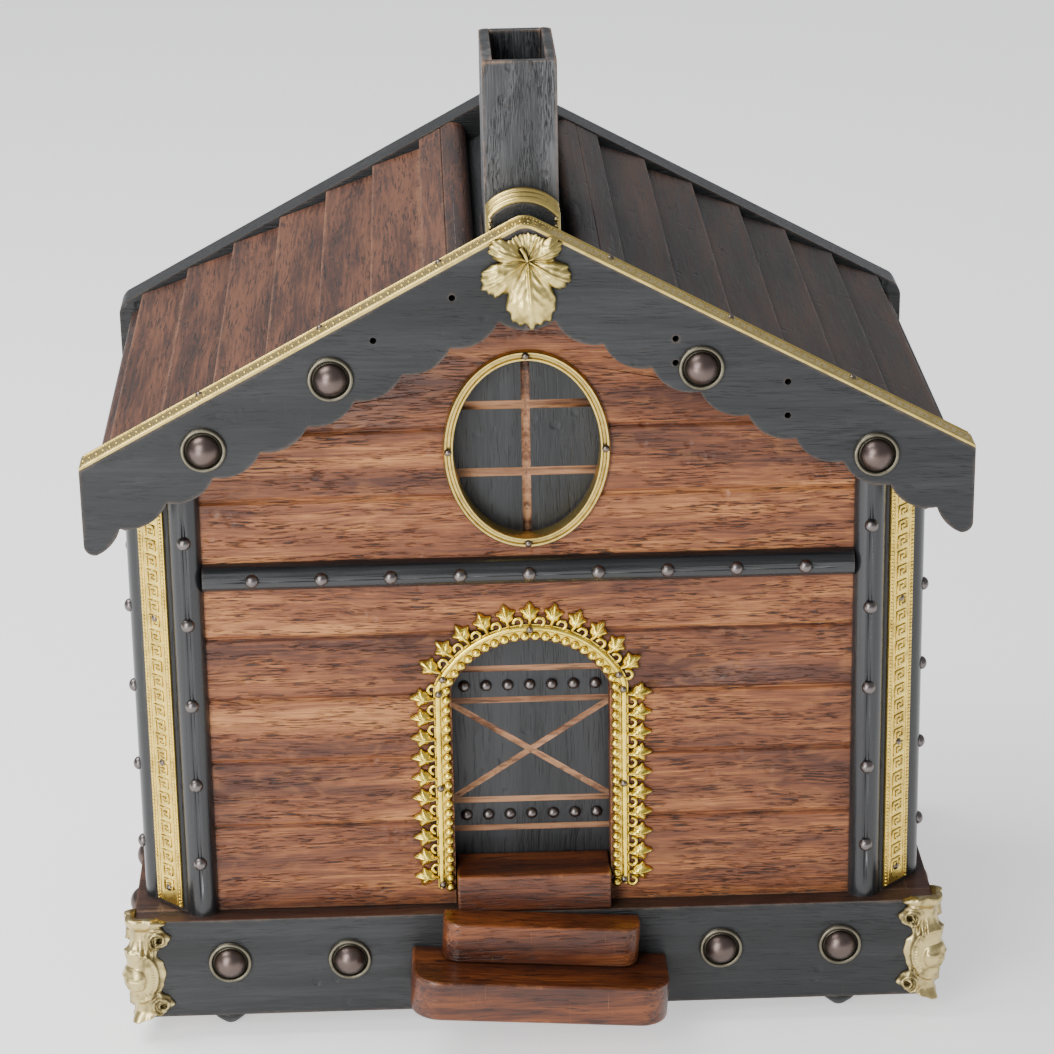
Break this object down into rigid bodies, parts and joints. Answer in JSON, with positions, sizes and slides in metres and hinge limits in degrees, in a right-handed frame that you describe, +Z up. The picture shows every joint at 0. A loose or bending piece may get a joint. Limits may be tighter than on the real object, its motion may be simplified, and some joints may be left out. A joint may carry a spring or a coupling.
{
  "type": "coin bank",
  "caption": "Money box in the form of a gabled timber cottage; two hinged roof flaps, an open chimney for coins, a porch of steps and gilt trim.",
  "frame": {"origin": "on the ground under the middle of the overall size, level with the bottoms of the feet", "axes": "+Z up, +X to the right seen from the front, front of the house towards -Y"},
  "size_m": [0.3, 0.2276, 0.3485],
  "materials": {
    "ebonised_wood": "ebonised, rubbed matt, worn brown at the arrises",
    "roof_wood": "dark brown stain, dull wax, worn butt edges",
    "wall_oak": "red-brown oiled oak with open pores",
    "bare_oak": "bare unfinished oak out of sight",
    "step_oak": "orange-brown oak, worn lighter on the edges",
    "turned_wood": "dark turned wood, waxed",
    "gilt_brass": "gilt, tarnished in the hollows",
    "bronze_boss": "dark bronze dome in a dull gold rim",
    "dark_steel": "dull steel domes"
  },
  "bodies": {
    "house": {"bargeboard_front_left": "ebonised_wood", "bargeboard_front_right": "ebonised_wood", "bargeboard_rear_left": "ebonised_wood", "bargeboard_rear_right": "ebonised_wood", "base_board": "ebonised_wood", "chimney_front_board": "ebonised_wood", "chimney_left_board": "ebonised_wood", "chimney_rear_board": "ebonised_wood", "chimney_right_board": "ebonised_wood", "corner_mouldings_front_left": "ebonised_wood", "corner_mouldings_front_right": "ebonised_wood", "corner_mouldings_rear_left": "ebonised_wood", "corner_mouldings_rear_right": "ebonised_wood", "corner_mount_front_left": "gilt_brass", "corner_mount_front_right": "gilt_brass", "corner_mount_rear_left": "gilt_brass", "corner_mount_rear_right": "gilt_brass", "corner_post_front_left": "ebonised_wood", "corner_post_front_right": "ebonised_wood", "corner_post_rear_left": "ebonised_wood", "corner_post_rear_right": "ebonised_wood", "crest_arch": "gilt_brass", "crest_legs": "gilt_brass", "door_nails": "dark_steel", "door_panel": "ebonised_wood", "eave_rail_left": "ebonised_wood", "eave_rail_right": "ebonised_wood", "feet": "turned_wood", "front_rail": "ebonised_wood", "front_wall": "wall_oak", "gable_edge_strip": "gilt_brass", "gilt_pins": "gilt_brass", "glue_blocks": "bare_oak", "hinge_pins": "dark_steel", "key_strips": "gilt_brass", "left_rail": "ebonised_wood", "left_wall": "wall_oak", "lower_step": "step_oak", "moulding_studs": "dark_steel", "plinth_front": "ebonised_wood", "plinth_left": "ebonised_wood", "plinth_rear": "ebonised_wood", "plinth_right": "ebonised_wood", "rear_rail": "ebonised_wood", "rear_wall": "wall_oak", "ridge_beam": "ebonised_wood", "ridge_ribs": "gilt_brass", "right_rail": "ebonised_wood", "right_wall": "wall_oak", "round_bosses": "bronze_boss", "threshold": "step_oak", "upper_step": "step_oak", "vine_leaf": "gilt_brass", "window_panel": "ebonised_wood", "window_ring": "gilt_brass"},
    "left_flap": {"flap_board_left": "roof_wood", "roof_planks_left": "roof_wood"},
    "right_flap": {"flap_board_right": "roof_wood", "roof_planks_right": "roof_wood"}
  },
  "joints": [
    {"name": "left_flap_hinge", "type": "hinge", "parent": "house", "child": "left_flap", "pos_m": [-0.0208, 0, 0.28413], "axis": [0, 1, 0], "range_deg": [0, 120]},
    {"name": "right_flap_hinge", "type": "hinge", "parent": "house", "child": "right_flap", "pos_m": [0.0208, 0, 0.28413], "axis": [0, -1, 0], "range_deg": [0, 120]}
  ]
}
